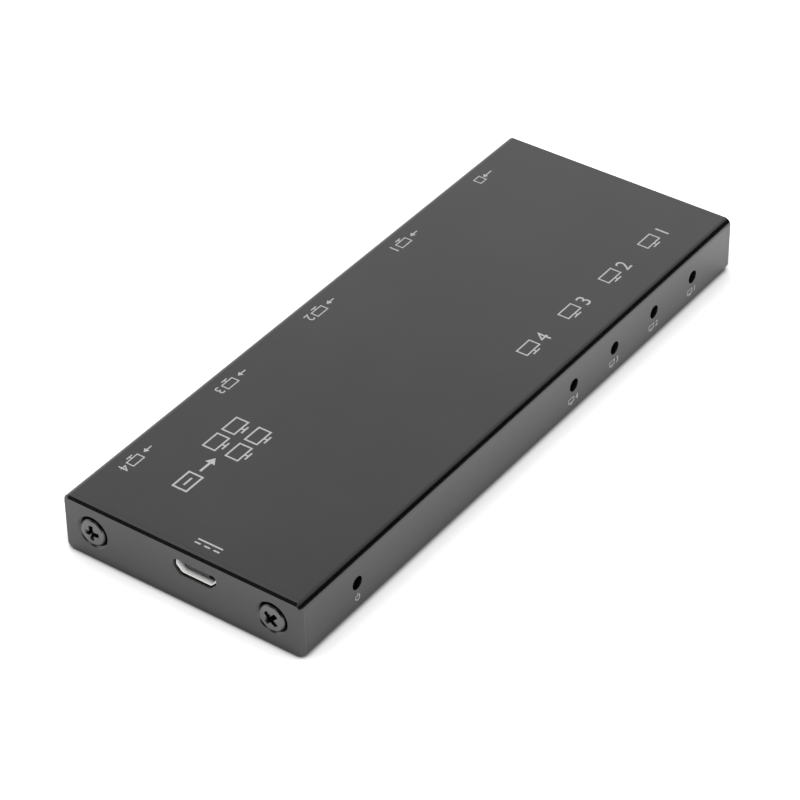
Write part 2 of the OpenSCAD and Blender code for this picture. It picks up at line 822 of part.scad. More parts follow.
// Two surge guards behind each video socket
module surge_guards() {
    color("black")
        for (i = ports, side = [-1, 1])
            on_board([port_x(i) + side * guard_l, guard_y], [guard_l, guard_w, guard_h]);
}

// Capacitors around the splitter chip and beside the regulators
module capacitors() {
    ring = splitter_w / 2 + row_gap + cap_l;
    step = splitter_w / 4;
    color("burlywood") {
        for (k = [-1.5 : 1.5], side = [-1, 1]) {
            on_board([k * step, splitter_y + side * ring], [cap_w, cap_l, cap_h]);
            on_board([side * ring, splitter_y + k * step], [cap_l, cap_w, cap_h]);
        }
        for (place = regulators_at, side = [-1, 1])
            on_board([place.x + side * (regulator_w / 2 + row_gap), place.y], [cap_w, cap_l, cap_h]);
    }
}

// Resistors behind the surge guards and beside the lamps
module resistors() {
    color("black") {
        for (i = ports, k = [-1.5 : 1.5])
            on_board([port_x(i) + k * 2 * res_l, res_y], [res_l, res_w, res_h]);
        for (i = lamps)
            on_board([lamp_x(i), lamp_depth + 2 * row_gap - board_y], [res_l, res_w, res_h]);
    }
}

cover();
base_tray();
clinch_nuts();
for (i = end_screws)
    end_screw(i);
insulating_film();
board_standoffs();
board_screws();
main_board();
for (i = ports) {
    port_shell(i);
    port_insulator(i);
    port_contact_rows(i);
}
power_socket_shell();
power_socket_insulator();
power_socket_contacts();
for (i = lamps)
    lamp(i);
splitter_chip();
thermal_pad();
heat_sink();
controller_chip();
memory_chip();
clock_crystal();
voltage_regulators();
power_inductors();
power_fuse();
surge_guards();
capacitors();
resistors();
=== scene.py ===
"""Looks of a slim four-way video splitter: finishes, fine pieces, printed marks and a plain studio."""
import logging
import math
from dataclasses import dataclass
from enum import Enum
from functools import cache
from typing import Callable, Iterable, Union

import bmesh
import bpy
from mathutils import Matrix, Vector


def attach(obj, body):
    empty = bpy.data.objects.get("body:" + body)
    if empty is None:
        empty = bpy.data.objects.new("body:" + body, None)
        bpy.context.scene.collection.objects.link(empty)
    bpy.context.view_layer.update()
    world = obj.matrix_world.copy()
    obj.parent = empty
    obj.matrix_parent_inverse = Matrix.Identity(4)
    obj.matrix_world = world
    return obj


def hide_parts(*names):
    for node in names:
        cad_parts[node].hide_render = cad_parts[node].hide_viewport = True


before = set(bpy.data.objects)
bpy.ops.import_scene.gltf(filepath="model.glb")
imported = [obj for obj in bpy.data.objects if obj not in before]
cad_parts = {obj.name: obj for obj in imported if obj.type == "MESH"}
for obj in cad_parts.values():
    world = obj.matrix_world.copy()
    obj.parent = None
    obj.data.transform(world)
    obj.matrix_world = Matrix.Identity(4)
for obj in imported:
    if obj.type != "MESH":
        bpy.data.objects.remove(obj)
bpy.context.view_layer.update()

LOG = logging.getLogger("splitter")
MM = 0.001
HOUSING = "housing"
Triple = tuple[float, float, float]
Term = Union[float, "Sock"]


class Sock:
    """A node's output socket, whose arithmetic adds Math nodes."""

    def __init__(self, sheet: "Sheet", socket: bpy.types.NodeSocket) -> None:
        """Keeps the socket and the sheet that it is on."""
        self.sheet = sheet
        self.socket = socket

    def _math(self, operation: str, left: Term, right: Term) -> "Sock":
        """Adds one Math node.

        Args:
            operation: The Math node's operation.
            left: The first value or socket.
            right: The second value or socket.

        Returns:
            The node's result.
        """
        return self.sheet.node("ShaderNodeMath", {"operation": operation}, {0: left, 1: right})

    def __add__(self, other: Term) -> "Sock":
        """The sum."""
        return self._math("ADD", self, other)

    def __radd__(self, other: float) -> "Sock":
        """The sum, from the right."""
        return self._math("ADD", other, self)

    def __sub__(self, other: Term) -> "Sock":
        """The difference."""
        return self._math("SUBTRACT", self, other)

    def __rsub__(self, other: float) -> "Sock":
        """The difference, from the right."""
        return self._math("SUBTRACT", other, self)

    def __mul__(self, other: Term) -> "Sock":
        """The product."""
        return self._math("MULTIPLY", self, other)

    def __rmul__(self, other: float) -> "Sock":
        """The product, from the right."""
        return self._math("MULTIPLY", other, self)

    def most(self, other: Term) -> "Sock":
        """The larger of the two."""
        return self._math("MAXIMUM", self, other)

    def unsigned(self) -> "Sock":
        """The value without its sign."""
        return self._math("ABSOLUTE", self, 0.0)


class Sheet:
    """A node tree that nodes are written on."""

    def __init__(self, tree: bpy.types.NodeTree) -> None:
        """Keeps the tree."""
        self.tree = tree

    def node(
        self,
        kind: str,
        settings: dict[str, object] | None = None,
        inputs: dict[int | str, object] | None = None,
        output: int | str = 0,
    ) -> Sock:
        """Adds one node of any type.

        Args:
            kind: The node's type.
            settings: Its own settings, set before its sockets.
            inputs: A value, a link or a list of links for each input socket.
            output: The output socket that is wanted.

        Returns:
            That output.
        """
        made = self.tree.nodes.new(kind)
        for name, value in (settings or {}).items():
            setattr(made, name, value)
        for key, value in (inputs or {}).items():
            for term in value if isinstance(value, list) else [value]:
                if isinstance(term, Sock):
                    self.tree.links.new(term.socket, made.inputs[key])
                else:
                    made.inputs[key].default_value = term
        return Sock(self, made.outputs[output])

    def span(self, value: Sock, low: float, high: float, start: float = 0.0, stop: float = 1.0) -> Sock:
        """Maps a value from one range to another, smoothly and within it.

        Args:
            value: The value.
            low: Where the range starts.
            high: Where the range ends.
            start: The result at low.
            stop: The result at high.

        Returns:
            The mapped value.
        """
        return self.node(
            "ShaderNodeMapRange",
            {"interpolation_type": "SMOOTHSTEP"},
            {0: value, 1: low, 2: high, 3: start, 4: stop},
        )

    def blend(self, factor: Sock, first: object, second: object) -> Sock:
        """Mixes two colours.

        Args:
            factor: The share of the second colour.
            first: A colour or a socket.
            second: A colour or a socket.

        Returns:
            The mixed colour.
        """
        inputs = {0: factor, 6: tinted(first), 7: tinted(second)}
        return self.node("ShaderNodeMix", {"data_type": "RGBA"}, inputs, 2)


def tinted(color: object, share: float = 1.0) -> object:
    """A colour with an alpha, made lighter or darker.

    Args:
        color: Three numbers, or a socket, which is passed on.
        share: What the numbers are multiplied by.

    Returns:
        Four numbers, or the socket.
    """
    return color if isinstance(color, Sock) else (*(share * c for c in color), 1.0)


class Shader(Sheet):
    """A material's nodes around one Principled shader."""

    def __init__(self, name: str) -> None:
        """Starts an empty material."""
        self.material = bpy.data.materials.new(name)
        self.material.use_nodes = True
        super().__init__(self.material.node_tree)
        self.tree.nodes.clear()

    def place(self, stretch: Triple = (1.0, 1.0, 1.0)) -> Sock:
        """The point on the piece, in metres, stretched by axis."""
        here = self.node("ShaderNodeTexCoord", output="Object")
        return self.node("ShaderNodeMapping", {}, {"Vector": here, "Scale": stretch})

    def noise(self, size: float, detail: float = 2.0, stretch: Triple = (1.0, 1.0, 1.0)) -> Sock:
        """Noise from 0 to 1.

        Args:
            size: The size of its lumps, in metres.
            detail: How many finer layers it has.
            stretch: What each axis is multiplied by first.

        Returns:
            The noise.
        """
        inputs = {"Vector": self.place(stretch), "Scale": 1.0 / size, "Detail": detail}
        return self.node("ShaderNodeTexNoise", {}, inputs)

    def bump(self, height: Sock, relief: float) -> Sock:
        """A normal from a height.

        Args:
            height: The height, from 0 to 1.
            relief: How high 1 is, in metres.

        Returns:
            The normal.
        """
        return self.node("ShaderNodeBump", {}, {"Strength": 1.0, "Distance": relief, "Height": height})

    def close(self, values: dict[str, object]) -> bpy.types.Material:
        """Ends the material with a Principled shader.

        Args:
            values: The shader's values and links by socket.

        Returns:
            The material.
        """
        surface = self.node("ShaderNodeBsdfPrincipled", {}, values)
        self.end(surface)
        return self.material

    def end(self, surface: Sock) -> None:
        """Links a shader to the material's output."""
        out = self.tree.nodes.new("ShaderNodeOutputMaterial")
        self.tree.links.new(surface.socket, out.inputs["Surface"])


class Axis(Enum):
    """The way that a metal's fine marks run."""

    X = (0.04, 1.0, 1.0)
    Y = (1.0, 0.04, 1.0)
    Z = (1.0, 1.0, 0.04)
    NONE = (1.0, 1.0, 1.0)


@dataclass(frozen=True)
class Finish:
    """A surface with a colour and a gloss."""

    name: str
    color: Triple
    roughness: float

    def dress(self, shader: Shader) -> dict[str, object]:
        """The values of the shader's sockets, which each kind of finish gives."""
        raise NotImplementedError


@cache
def material_of(finish: Finish) -> bpy.types.Material:
    """A finish's material, made once.

    Args:
        finish: The finish.

    Returns:
        Its material.
    """
    shader = Shader(finish.name)
    return shader.close(finish.dress(shader))


@dataclass(frozen=True)
class Coat(Finish):
    """A baked satin coat on sheet metal: fine grain, faint cloudiness."""

    metallic: float = 0.99
    grain: float = 0.00028
    relief: float = 0.0000035

    def dress(self, shader: Shader) -> dict[str, object]:
        """A fine grain in the relief, and a slow change of tone and gloss."""
        fine = shader.noise(self.grain, 3.0)
        cloud = shader.noise(0.019, 3.0)
        tone = 0.7 * cloud + 0.3 * fine
        return {
            "Base Color": shader.blend(tone, tinted(self.color, 0.86)[:3], tinted(self.color, 1.14)[:3]),
            "Metallic": self.metallic,
            "Roughness": self.roughness - 0.05 + 0.06 * fine + 0.04 * cloud,
            "Normal": shader.bump(fine, self.relief),
        }


@dataclass(frozen=True)
class Metal(Finish):
    """Plated or bare metal with fine drawn marks."""

    axis: Axis = Axis.NONE
    mark: float = 0.00012
    relief: float = 0.0000012
    metallic: float = 1.0

    def dress(self, shader: Shader) -> dict[str, object]:
        """Marks along one axis in the gloss and relief, and a faint stain."""
        marks = shader.noise(self.mark, 3.0, self.axis.value)
        stain = shader.noise(0.0031, 3.0)
        return {
            "Base Color": shader.blend(stain, tinted(self.color, 0.88)[:3], tinted(self.color, 1.06)[:3]),
            "Metallic": self.metallic,
            "Roughness": self.roughness - 0.06 + 0.1 * marks + 0.04 * stain,
            "Normal": shader.bump(marks, self.relief),
        }


@dataclass(frozen=True)
class ShadedSunkMetal(Metal):
    """Metal in an end wall, in its own colour outside, with painted shade that darkens it further in."""

    unshaded_x: float = 0.06
    shaded_x: float = 0.059
    shade_color: Triple = (0.012, 0.012, 0.012)

    def dress(self, shader: Shader) -> dict[str, object]:
        """The metal's own look, with painted shade that darkens it along X towards the middle of the case."""
        values = super().dress(shader)
        # painted shade: deeper along X, the colour darkens to a near-black shade colour
        along = shader.node("ShaderNodeSeparateXYZ", {}, {0: shader.place()}, "X").unsigned()
        unshaded = shader.span(along, self.shaded_x, self.unshaded_x)
        return values | {"Base Color": shader.blend(unshaded, self.shade_color, values["Base Color"])}


@dataclass(frozen=True)
class Plastic(Finish):
    """Moulded plastic, epoxy, rubber or ceramic, with a pebbled skin."""

    pebble: float = 0.00022
    relief: float = 0.000004
    contrast: float = 0.12

    def dress(self, shader: Shader) -> dict[str, object]:
        """Pebbles in the relief, flow marks in the tone and gloss."""
        pebbles = shader.noise(self.pebble, 2.0)
        flow = shader.noise(0.0042, 4.0, (1.0, 0.6, 1.7))
        low, high = 1.0 - self.contrast, 1.0 + self.contrast
        return {
            "Base Color": shader.blend(flow, tinted(self.color, low)[:3], tinted(self.color, high)[:3]),
            "Roughness": self.roughness - 0.06 + 0.08 * pebbles + 0.04 * flow,
            "Normal": shader.bump(pebbles, self.relief),
        }


@dataclass(frozen=True)
class Board(Finish):
    """A circuit board: lacquer over copper tracks, with plated pads."""

    track: Triple = (0.02, 0.16, 0.07)
    plate: Triple = (0.70, 0.52, 0.24)

    def dress(self, shader: Shader) -> dict[str, object]:
        """Tracks from two sets of bricks, and pads where round cells are smallest."""
        here = shader.place()
        sizes = {"Vector": here, "Scale": 900.0, "Mortar Size": 0.09, "Brick Width": 3.4, "Row Height": 0.7}
        rows = shader.node("ShaderNodeTexBrick", {}, sizes, "Fac")
        cells = {"Vector": here, "Scale": 420.0, "Randomness": 0.85}
        dots = shader.node("ShaderNodeTexVoronoi", {}, cells, "Distance")
        pads = shader.span(dots, 0.20, 0.16)
        weave = shader.noise(0.0005, 2.0)
        lacquer = shader.blend(weave, tinted(self.color, 0.85)[:3], tinted(self.color, 1.15)[:3])
        tracked = shader.blend(rows * 0.8, lacquer, self.track)
        return {
            "Base Color": shader.blend(pads, tracked, self.plate),
            "Metallic": pads,
            "Roughness": self.roughness + 0.1 * weave - 0.1 * pads,
            "Normal": shader.bump(rows + 0.2 * weave, 0.00001),
        }


@dataclass(frozen=True)
class Ink(Finish):
    """Screen-printed ink, a little uneven."""

    def dress(self, shader: Shader) -> dict[str, object]:
        """Thin spots in the tone and gloss."""
        thin = shader.noise(0.00018, 3.0)
        return {
            "Base Color": shader.blend(thin, tinted(self.color, 0.9)[:3], tinted(self.color, 1.08)[:3]),
            "Roughness": self.roughness + 0.12 * thin,
            "Normal": shader.bump(thin, 0.000002),
        }


COAT = Coat("coat_dark_grey", (0.098, 0.098, 0.100), 0.24)
# painted shade darkens the screws' countersink gap and cross recess
SCREW_STEEL = ShadedSunkMetal(
    "screw_black_steel", (0.165, 0.165, 0.168), 0.30, mark=0.00009, unshaded_x=0.06004, shaded_x=0.0598,
)
SHELL_STEEL = Metal("socket_nickel", (0.72, 0.71, 0.69), 0.27, Axis.Y)
# painted shade darkens the power socket's shell deeper inside its mouth
POWER_STEEL = ShadedSunkMetal(
    "power_socket_tin", (0.96, 0.955, 0.94), 0.42, Axis.X, metallic=0.05, unshaded_x=0.05936, shaded_x=0.0583,
)
NUT_ZINC = Metal("nut_zinc", (0.60, 0.60, 0.58), 0.38)
GOLD = Metal("contact_gold", (0.83, 0.60, 0.24), 0.25, Axis.Y)
SINK_METAL = Metal("heat_sink_metal", (0.62, 0.63, 0.65), 0.42, Axis.X)
CRYSTAL_CAN = Metal("crystal_can", (0.66, 0.65, 0.63), 0.3)
SOCKET_PLASTIC = Plastic("socket_black_plastic", (0.012, 0.012, 0.013), 0.42)
POWER_PLASTIC = Plastic("power_black_plastic", (0.014, 0.014, 0.015), 0.45)
LAMP_LENS = Plastic("lamp_smoked_lens", (0.018, 0.019, 0.018), 0.16, relief=0.000001)
EPOXY = Plastic("chip_epoxy", (0.017, 0.017, 0.018), 0.55)
PAD_RUBBER = Plastic("thermal_pad_rubber", (0.33, 0.36, 0.42), 0.7)
FERRITE = Plastic("inductor_ferrite", (0.045, 0.043, 0.042), 0.62)
FUSE_BODY = Plastic("fuse_body", (0.10, 0.33, 0.16), 0.45)
TAN_CERAMIC = Plastic("capacitor_ceramic", (0.42, 0.29, 0.17), 0.4)
DARK_CERAMIC = Plastic("resistor_ceramic", (0.03, 0.03, 0.032), 0.4)
FILM = Plastic("insulating_film", (0.40, 0.17, 0.03), 0.22, relief=0.0000015)
BOARD = Board("circuit_board", (0.008, 0.085, 0.035), 0.32)
INK = Ink("printed_ink", (0.60, 0.60, 0.60), 0.5)


def own_node(name: str) -> bmesh.types.BMesh:
    """A copy of a CAD node with its loose triangles merged into whole faces.

    Args:
        name: The node.

    Returns:
        The copy, still to be edited.
    """
    bm = bmesh.new()
    bm.from_mesh(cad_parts[name].data)
    bmesh.ops.remove_doubles(bm, verts=bm.verts, dist=1e-7)
    bmesh.ops.dissolve_limit(bm, angle_limit=math.radians(0.4), verts=bm.verts, edges=bm.edges)
    return bm


def soften(
    bm: bmesh.types.BMesh, rims: Callable[[bmesh.types.BMEdge], bool], width: float, steps: int = 2,
) -> None:
    """Rounds the sharp edges that a test picks, or chamfers them with one step.

    Args:
        bm: The mesh.
        rims: The test, true for an edge that is softened.
        width: How far the softening reaches, in metres.
        steps: The faces across it.
    """
    sharp = math.radians(30)
    picked = [e for e in bm.edges if e.is_manifold and e.calc_face_angle() > sharp and rims(e)]
    bmesh.ops.bevel(
        bm, geom=picked, offset=width, offset_type="OFFSET", segments=steps, profile=0.5, affect="EDGES",
        clamp_overlap=True,
    )


def as_piece(name: str, bm: bmesh.types.BMesh, finish: Finish) -> bpy.types.Object:
    """Turns an edited mesh into a piece with smooth rounds and flat faces.

    Args:
        name: The piece's name.
        bm: The mesh, which is used up.
        finish: What covers it.

    Returns:
        The piece, not yet on a body.
    """
    rough = bpy.data.meshes.new(name + "_rough")
    bm.to_mesh(rough)
    bm.free()
    for layer in [a.name for a in rough.attributes if a.name == "custom_normal"]:
        rough.attributes.remove(rough.attributes[layer])
    rough.materials.clear()
    rough.materials.append(material_of(finish))
    rough.polygons.foreach_set("material_index", [0] * len(rough.polygons))
    rough.shade_smooth()
    rough.set_sharp_from_angle(angle=math.radians(32))
    host = bpy.data.objects.new(name + "_host", rough)
    bpy.context.scene.collection.objects.link(host)
    weigh = host.modifiers.new("weigh", "WEIGHTED_NORMAL")
    weigh.keep_sharp = True
    return settled(host, name)


def settled(host: bpy.types.Object, name: str) -> bpy.types.Object:
    """A plain mesh object from one with modifiers, which is removed.

    Args:
        host: The object with modifiers.
        name: The new object's name.

    Returns:
        The plain object.
    """
    graph = bpy.context.evaluated_depsgraph_get()
    mesh = bpy.data.meshes.new_from_object(host.evaluated_get(graph), preserve_all_data_layers=True, depsgraph=graph)
    mesh.name = name
    host.modifiers.clear()
    bpy.data.objects.remove(host)
    piece = bpy.data.objects.new(name, mesh)
    bpy.context.scene.collection.objects.link(piece)
    return piece


def seat(piece: bpy.types.Object, body: str, slot: str = "", *nodes: str) -> None:
    """Puts a piece on its body and reports it.

    Args:
        piece: The piece, in place.
        body: The body that it rides on.
        slot: The record's material slot, if it has one; not used.
        nodes: The CAD nodes that it stands for.
    """
    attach(piece, body)
    if nodes:
        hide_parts(*nodes)
    LOG.info("%s: %d faces on %s", piece.name, len(piece.data.polygons), body)


class Kind(Enum):
    """The kinds of named input that a recipe has."""

    LENGTH = "NodeSocketFloat"
    COUNT = "NodeSocketInt"
    VECTOR = "NodeSocketVector"
    MATERIAL = "NodeSocketMaterial"


class Recipe(Sheet):
    """A Geometry Nodes tree with named inputs that gives a plain mesh."""

    def __init__(self, name: str) -> None:
        """Starts an empty tree with one geometry output."""
        super().__init__(bpy.data.node_groups.new(name, "GeometryNodeTree"))
        self.tree.interface.new_socket("Geometry", in_out="OUTPUT", socket_type="NodeSocketGeometry")
        self.entry = self.tree.nodes.new("NodeGroupInput")
        self.names: dict[str, str] = {}

    def ask(self, name: str, kind: Kind) -> Sock:
        """Adds a named input.

        Args:
            name: The input's name.
            kind: What it holds.

        Returns:
            Its socket inside the tree.
        """
        item = self.tree.interface.new_socket(name, in_out="INPUT", socket_type=kind.value)
        self.names[name] = item.identifier
        found = next(s for s in self.entry.outputs if s.identifier == item.identifier)
        return Sock(self, found)

    def vector(self, x: Term, y: Term, z: Term) -> Sock:
        """A vector from three values."""
        return self.node("ShaderNodeCombineXYZ", {}, {0: x, 1: y, 2: z})

    def moved(
        self, geometry: Sock, by: object = (0, 0, 0), turn: object = (0, 0, 0), scale: object = (1, 1, 1),
    ) -> Sock:
        """Geometry that is scaled, turned and moved.

        Args:
            geometry: What is moved.
            by: How far.
            turn: The angles about X, Y and Z.
            scale: The scale by axis.

        Returns:
            The moved geometry.
        """
        inputs = {"Geometry": geometry, "Translation": by, "Rotation": turn, "Scale": scale}
        return self.node("GeometryNodeTransform", {}, inputs)

    def joined(self, operation: str, parts: list[Sock]) -> Sock:
        """Solids that are united or intersected."""
        settings = {"operation": operation, "solver": "EXACT"}
        return self.node("GeometryNodeMeshBoolean", settings, {"Mesh 2": parts})

    def cut(self, solid: Sock, tool: Sock) -> Sock:
        """A solid with another taken out of it."""
        inputs = {"Mesh 1": solid, "Mesh 2": [tool]}
        return self.node("GeometryNodeMeshBoolean", {"operation": "DIFFERENCE", "solver": "EXACT"}, inputs)

    def close(self, geometry: Sock, material: Sock) -> None:
        """Ends the tree with whole meshes and their material."""
        whole = self.node("GeometryNodeRealizeInstances", {}, {"Geometry": geometry})
        dressed = self.node("GeometryNodeSetMaterial", {}, {"Geometry": whole, "Material": material})
        out = self.tree.nodes.new("NodeGroupOutput")
        self.tree.links.new(dressed.socket, out.inputs[0])

    def make(self, name: str, values: dict[str, object]) -> bpy.types.Object:
        """Runs the tree once.

        Args:
            name: The piece's name.
            values: Each named input's value.

        Returns:
            The plain mesh object.
        """
        host = bpy.data.objects.new(name + "_host", bpy.data.meshes.new(name + "_host"))
        modifier = host.modifiers.new("recipe", "NODES")
        modifier.node_group = self.tree
        for key, value in values.items():
            modifier[self.names[key]] = value
        bpy.context.scene.collection.objects.link(host)
        return settled(host, name)


@dataclass
class Case:
    """The folded cover and the base tray, with softened cut-outs."""

    length: float = 0.120
    width: float = 0.045
    rim: float = 0.00009

    def build(self) -> None:
        """Builds both sheets from their solids."""
        self.cover()
        self.tray()

    def cover(self) -> None:
        """The cover: lamp holes and socket cut-outs get rounded rims."""
        bm = own_node("cover")
        side = self.width / 2
        inside = self.length / 2 - 0.002

        def on_wall(edge: bmesh.types.BMEdge) -> bool:
            """True for a cut-out's rim on the outer face of a long wall."""
            return all(abs(abs(v.co.y) - side) < 1e-6 and abs(v.co.x) < inside for v in edge.verts)

        soften(bm, on_wall, self.rim)
        seat(as_piece("cover_sheet", bm, COAT), HOUSING, "case_paint", "cover")

    def tray(self) -> None:
        """The base tray: countersinks and the power cut-out get rounded rims."""
        bm = own_node("base_tray")
        end = self.length / 2
        inside = self.width / 2 - 0.002

        def on_end(edge: bmesh.types.BMEdge) -> bool:
            """True for a rim on the outer face of an end wall."""
            return all(abs(abs(v.co.x) - end) < 1e-6 and abs(v.co.y) < inside for v in edge.verts)

        soften(bm, on_end, self.rim)
        seat(as_piece("base_tray_sheet", bm, COAT), HOUSING, "case_paint", "base_tray")


@dataclass
class EndScrews:
    """Four raised countersunk cross-recess screws, one on each turning body."""

    head_r: float = 2.35
    cone_h: float = 1.0
    edge_h: float = 0.55
    dome_h: float = 0.30
    shank_r: float = 1.45
    length: float = 4.0
    sunk: float = 0.50
    arm: float = 0.80
    cross_r: float = 1.40
    cross_tip_r: float = 0.70
    cross_h: float = 1.4
    shoulder: float = 0.24
    place: Triple = (60.0, 16.9, 5.3)
    dome_steps: tuple[float, ...] = (1.0, 0.84, 0.66, 0.48, 0.3, 0.12)

    def recipe(self) -> Recipe:
        """The tree of one screw.

        Returns:
            A tree that makes a screw in millimetres and puts it in place in metres.
        """
        sheet = Recipe("end_screw")
        ask = {n: sheet.ask(n, Kind.LENGTH) for n in (
            "Head Radius", "Cone Height", "Edge Height", "Dome Height", "Shank Radius", "Length", "Cross Arm",
            "Cross Radius", "Cross Tip Radius", "Cross Depth",
        )}
        place, facing, turn = (sheet.ask(n, Kind.VECTOR) for n in ("Place", "Facing", "Turn"))
        material = sheet.ask("Material", Kind.MATERIAL)

        def cone(low: Term, high: Term, height: Term, base: Term) -> Sock:
            """A cone that stands on a level, with 64 sides."""
            inputs = {"Vertices": 64, "Radius Bottom": low, "Radius Top": high, "Depth": height}
            body = sheet.node("GeometryNodeMeshCone", {}, inputs)
            return sheet.moved(body, sheet.vector(0.0, 0.0, base))

        head, edge, dome, shank = (ask[n] for n in ("Head Radius", "Edge Height", "Dome Height", "Shank Radius"))
        layers = [
            cone(shank, shank, ask["Length"] - 0.5 * ask["Cone Height"], -1.0 * ask["Length"]),
            cone(shank, head, ask["Cone Height"], -1.0 * ask["Cone Height"]),
            cone(head, head, edge, 0.0),
        ]
        for low, high in zip(self.dome_steps, self.dome_steps[1:]):
            layers.append(cone(head * low, head * high, dome * (low**2 - high**2), edge + dome * (1.0 - low**2)))
        solid = sheet.joined("UNION", layers)
        bar = sheet.node("GeometryNodeMeshCube", {}, {
            "Size": sheet.vector(4.0 * ask["Cross Radius"], ask["Cross Arm"], 4.0 * ask["Cross Depth"]),
        })
        cross = sheet.joined("UNION", [bar, sheet.moved(bar, turn=(0.0, 0.0, math.pi / 2))])
        depth = ask["Cross Depth"]
        taper = cone(ask["Cross Tip Radius"], ask["Cross Radius"] * 1.1, depth * 1.1, edge + dome - depth)
        recess = sheet.moved(sheet.joined("INTERSECT", [cross, taper]), turn=turn)
        screw = sheet.cut(solid, recess)
        sheet.close(sheet.moved(screw, place, facing, (MM, MM, MM)), material)
        return sheet

    def build(self) -> None:
        """Makes each screw on its own body, rounds its recess and chamfers its head's edge."""
        sheet = self.recipe()
        turns = {"power_end_screw_port_side": 4.0, "power_end_screw_lamp_side": 46.0,
                 "far_end_screw_port_side": 25.0, "far_end_screw_lamp_side": 70.0}
        for name, degrees in turns.items():
            end = -1.0 if name.startswith("power") else 1.0
            side = 1.0 if name.endswith("port_side") else -1.0
            outward = Vector((end, 0.0, 0.0))
            up = Vector((0.0, 0.0, 1.0))
            facing = Matrix((up, outward.cross(up), outward)).transposed().to_euler()
            x, y, z = self.place
            made = sheet.make(name + "_rough", {
                "Head Radius": self.head_r, "Cone Height": self.cone_h, "Edge Height": self.edge_h,
                "Dome Height": self.dome_h, "Shank Radius": self.shank_r, "Length": self.length,
                "Cross Arm": self.arm, "Cross Radius": self.cross_r, "Cross Tip Radius": self.cross_tip_r,
                "Cross Depth": self.cross_h, "Place": (end * (x - self.sunk) * MM, side * y * MM, z * MM),
                "Facing": tuple(facing), "Turn": (0.0, 0.0, math.radians(degrees)),
                "Material": material_of(SCREW_STEEL),
            })
            bm = bmesh.new()
            bm.from_mesh(made.data)
            bpy.data.objects.remove(made)
            bmesh.ops.remove_doubles(bm, verts=bm.verts, dist=1e-7)
            rim = (x - self.sunk + self.edge_h) * MM
            soften(bm, lambda e: all(abs(v.co.x) > rim + 2e-5 for v in e.verts), 0.00004)
            soften(bm, lambda e: all(abs(abs(v.co.x) - rim) < 1e-6 for v in e.verts), self.shoulder * MM, 1)
            seat(as_piece(name + "_head", bm, SCREW_STEEL), name, "screw_steel", name)


@dataclass
class VideoSockets:
    """Five video sockets: drawn steel shells with a lead-in and spring leaves."""

    names: tuple[str, ...] = ("output_4", "output_3", "output_2", "output_1", "input")
    pitch: float = 0.0234
    mouth: float = 0.0213
    level: float = 0.005375
    inner_h: float = 0.00455
    leaf: Triple = (0.0020, 0.0052, 0.00018)
    leaf_bow: float = 0.00034
    leaf_x: float = 0.0031

    def build(self) -> None:
        """Builds the shells and their springs."""
        for name in self.names:
            bm = own_node(name + "_socket_shell")
            soften(bm, lambda e: all(abs(v.co.y - self.mouth) < 1e-6 for v in e.verts), 0.00008)
            seat(as_piece(name + "_shell", bm, SHELL_STEEL), HOUSING, "socket_steel", name + "_socket_shell")
        self.springs()

    def springs(self) -> None:
        """Two bowed leaves above and two below in every socket, from one tree."""
        sheet = Recipe("spring_leaves")
        width, length, thick, bow, spread, rise, back = (sheet.ask(n, Kind.LENGTH) for n in (
            "Leaf Width", "Leaf Length", "Leaf Thickness", "Bow", "Leaf Spread", "Rise", "Set Back",
        ))
        first, step = (sheet.ask(n, Kind.VECTOR) for n in ("First Socket", "Socket Step"))
        count = sheet.ask("Sockets", Kind.COUNT)
        material = sheet.ask("Material", Kind.MATERIAL)
        inputs = {"Size X": width, "Size Y": length, "Vertices X": 3, "Vertices Y": 15}
        strip = sheet.node("GeometryNodeMeshGrid", {}, inputs)
        here = sheet.node("GeometryNodeInputPosition")
        along = sheet.node("ShaderNodeSeparateXYZ", {}, {0: here}, "Y")
        share = sheet.node("ShaderNodeMath", {"operation": "DIVIDE"}, {0: along, 1: length})
        arch = 1.0 - 4.0 * share * share
        drop = sheet.vector(0.0, 0.0, -1.0 * bow * arch)
        bent = sheet.node("GeometryNodeSetPosition", {}, {"Geometry": strip, "Offset": drop})
        solid = sheet.node("GeometryNodeExtrudeMesh", {"mode": "FACES"}, {
            "Mesh": bent, "Offset": sheet.vector(0.0, 0.0, thick), "Individual": False, "Offset Scale": 1.0,
        })
        under = sheet.node("GeometryNodeFlipFaces", {}, {"Mesh": bent})
        leaf = sheet.node("GeometryNodeMergeByDistance", {}, {
            "Geometry": sheet.node("GeometryNodeJoinGeometry", {}, {0: [solid, under]}), "Distance": 1e-6,
        })
        upper = [sheet.moved(leaf, sheet.vector(s * spread, -1.0 * back, rise)) for s in (-1.0, 1.0)]
        lower = [
            sheet.moved(leaf, sheet.vector(s * spread * 0.72, -1.0 * back, -1.0 * rise), (0.0, math.pi, 0.0))
            for s in (-1.0, 1.0)
        ]
        four = sheet.node("GeometryNodeJoinGeometry", {}, {0: upper + lower})
        places = sheet.node("GeometryNodeMeshLine", {}, {"Count": count, "Start Location": first, "Offset": step})
        every = sheet.node("GeometryNodeInstanceOnPoints", {}, {"Points": places, "Instance": four})
        sheet.close(every, material)
        leaves = sheet.make("socket_springs", {
            "Leaf Width": self.leaf[0], "Leaf Length": self.leaf[1], "Leaf Thickness": self.leaf[2],
            "Bow": self.leaf_bow, "Leaf Spread": self.leaf_x, "Rise": self.inner_h / 2 - self.leaf[2],
            "Set Back": 0.0042, "First Socket": (-2 * self.pitch, self.mouth, self.level),
            "Socket Step": (self.pitch, 0.0, 0.0), "Sockets": len(self.names), "Material": material_of(SHELL_STEEL),
        })
        leaves.data.shade_smooth()
        leaves.data.set_sharp_from_angle(angle=math.radians(32))
        seat(leaves, HOUSING, "socket_steel")


